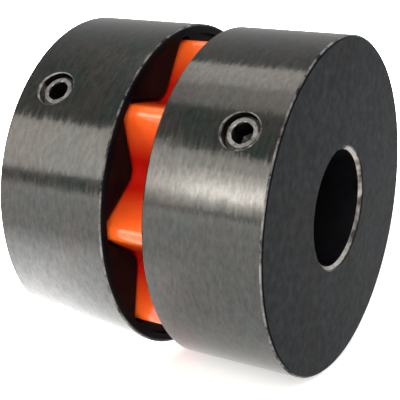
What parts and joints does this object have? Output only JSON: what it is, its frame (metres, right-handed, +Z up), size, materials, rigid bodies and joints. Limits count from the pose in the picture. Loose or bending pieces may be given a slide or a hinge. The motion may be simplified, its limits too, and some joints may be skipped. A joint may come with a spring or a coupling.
{
  "type": "jaw coupling",
  "caption": "Shaft coupling: two plain round black steel hubs with star-shaped sockets, joined by an orange urethane star, each held to its shaft by a hexagon socket set screw.",
  "frame": {"origin": "on the shafts' axis, in the middle of the gap between the hubs", "axes": "+X along the shafts' axis towards the right hub's outer face; +Z up; the set screws are on the -Y side, 41 degrees (left) and 34 degrees (right) above the horizontal"},
  "size_m": [0.047, 0.055, 0.055],
  "materials": {
    "hub_steel": "turned steel with an oiled black oxide finish, satin",
    "insert_urethane": "moulded orange urethane, half gloss, slightly translucent",
    "screw_steel": "black oxide alloy steel with bright worn thread crests"
  },
  "bodies": {
    "left_hub": {"left_hub": "hub_steel"},
    "star_insert": {"star_insert": "insert_urethane"},
    "right_hub": {"right_hub": "hub_steel"},
    "left_set_screw": {"left_set_screw": "screw_steel"},
    "right_set_screw": {"right_set_screw": "screw_steel"}
  },
  "joints": [
    {"name": "star_wind_up", "type": "hinge", "parent": "left_hub", "child": "star_insert", "pos_m": [0, 0, 0], "axis": [1, 0, 0], "range_deg": [-1, 1], "stiffness_Nm_per_rad": 5},
    {"name": "right_hub_slide", "type": "slide", "parent": "star_insert", "child": "right_hub", "axis": [1, 0, 0], "range_m": [-0.0005, 0.014]},
    {"name": "left_screw_travel", "type": "slide", "parent": "left_hub", "child": "left_set_screw", "axis": [0, -0.7547, 0.6561], "range_m": [-0.0011, 0.006]},
    {"name": "right_screw_travel", "type": "slide", "parent": "right_hub", "child": "right_set_screw", "axis": [0, -0.829, 0.5592], "range_m": [-0.0011, 0.006]}
  ]
}
